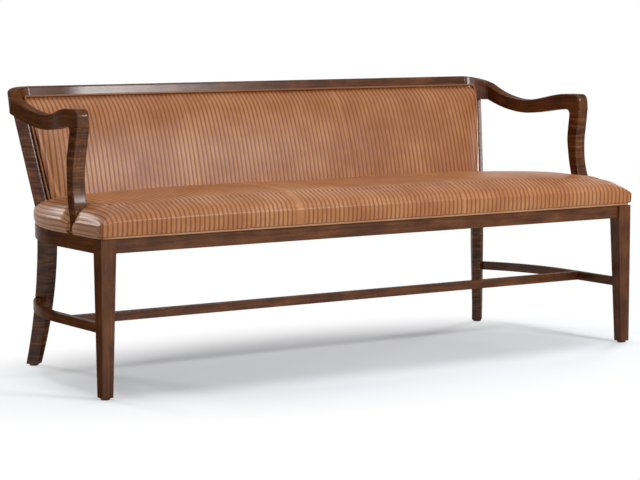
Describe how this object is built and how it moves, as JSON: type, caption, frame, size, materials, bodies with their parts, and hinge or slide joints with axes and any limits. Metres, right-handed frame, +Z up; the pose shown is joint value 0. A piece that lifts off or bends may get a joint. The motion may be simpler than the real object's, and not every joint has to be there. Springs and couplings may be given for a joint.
{
  "type": "upholstered bench",
  "caption": "Long upholstered bench with a stained wooden show frame, serpentine arms, an H stretcher and a striped leather seat and back.",
  "frame": {"origin": "on the floor under the middle of the bench's bounding box", "axes": "+X along the bench, towards the right end as seen from the front; +Y from the front to the back; +Z up"},
  "size_m": [1.856, 0.7196, 0.809],
  "materials": {
    "stained_wood": "satin",
    "plain_wood": "matte",
    "leather": "satin",
    "foam": "matte",
    "steel": "brushed",
    "glide_plastic": "matte"
  },
  "bodies": {
    "root": {"front_leg_left": "stained_wood", "front_leg_right": "stained_wood", "rear_post_left": "stained_wood", "rear_post_right": "stained_wood", "front_rail": "stained_wood", "rear_rail": "stained_wood", "side_rail_left": "stained_wood", "side_rail_right": "stained_wood", "cross_rails": "plain_wood", "corner_blocks": "plain_wood", "corner_block_screws": "steel", "rail_dowels": "plain_wood", "crest_rail": "stained_wood", "crest_corner_left": "stained_wood", "crest_corner_right": "stained_wood", "crest_dowels": "plain_wood", "arm_left": "stained_wood", "arm_right": "stained_wood", "arm_post_left": "stained_wood", "arm_post_right": "stained_wood", "arm_dowels": "plain_wood", "arm_post_screws": "steel", "side_stretcher_left": "stained_wood", "side_stretcher_right": "stained_wood", "centre_stretcher": "stained_wood", "stretcher_dowels": "plain_wood", "back_lower_rail": "plain_wood", "back_uprights": "plain_wood", "back_board": "plain_wood", "back_foam": "foam", "back_cover": "leather", "back_piping": "leather", "outside_back_cover": "leather", "seat_deck": "plain_wood", "deck_screws": "steel", "seat_foam": "foam", "seat_cover": "leather", "seat_piping": "leather", "foot_glides": "glide_plastic", "glide_nails": "steel"}
  },
  "joints": []
}
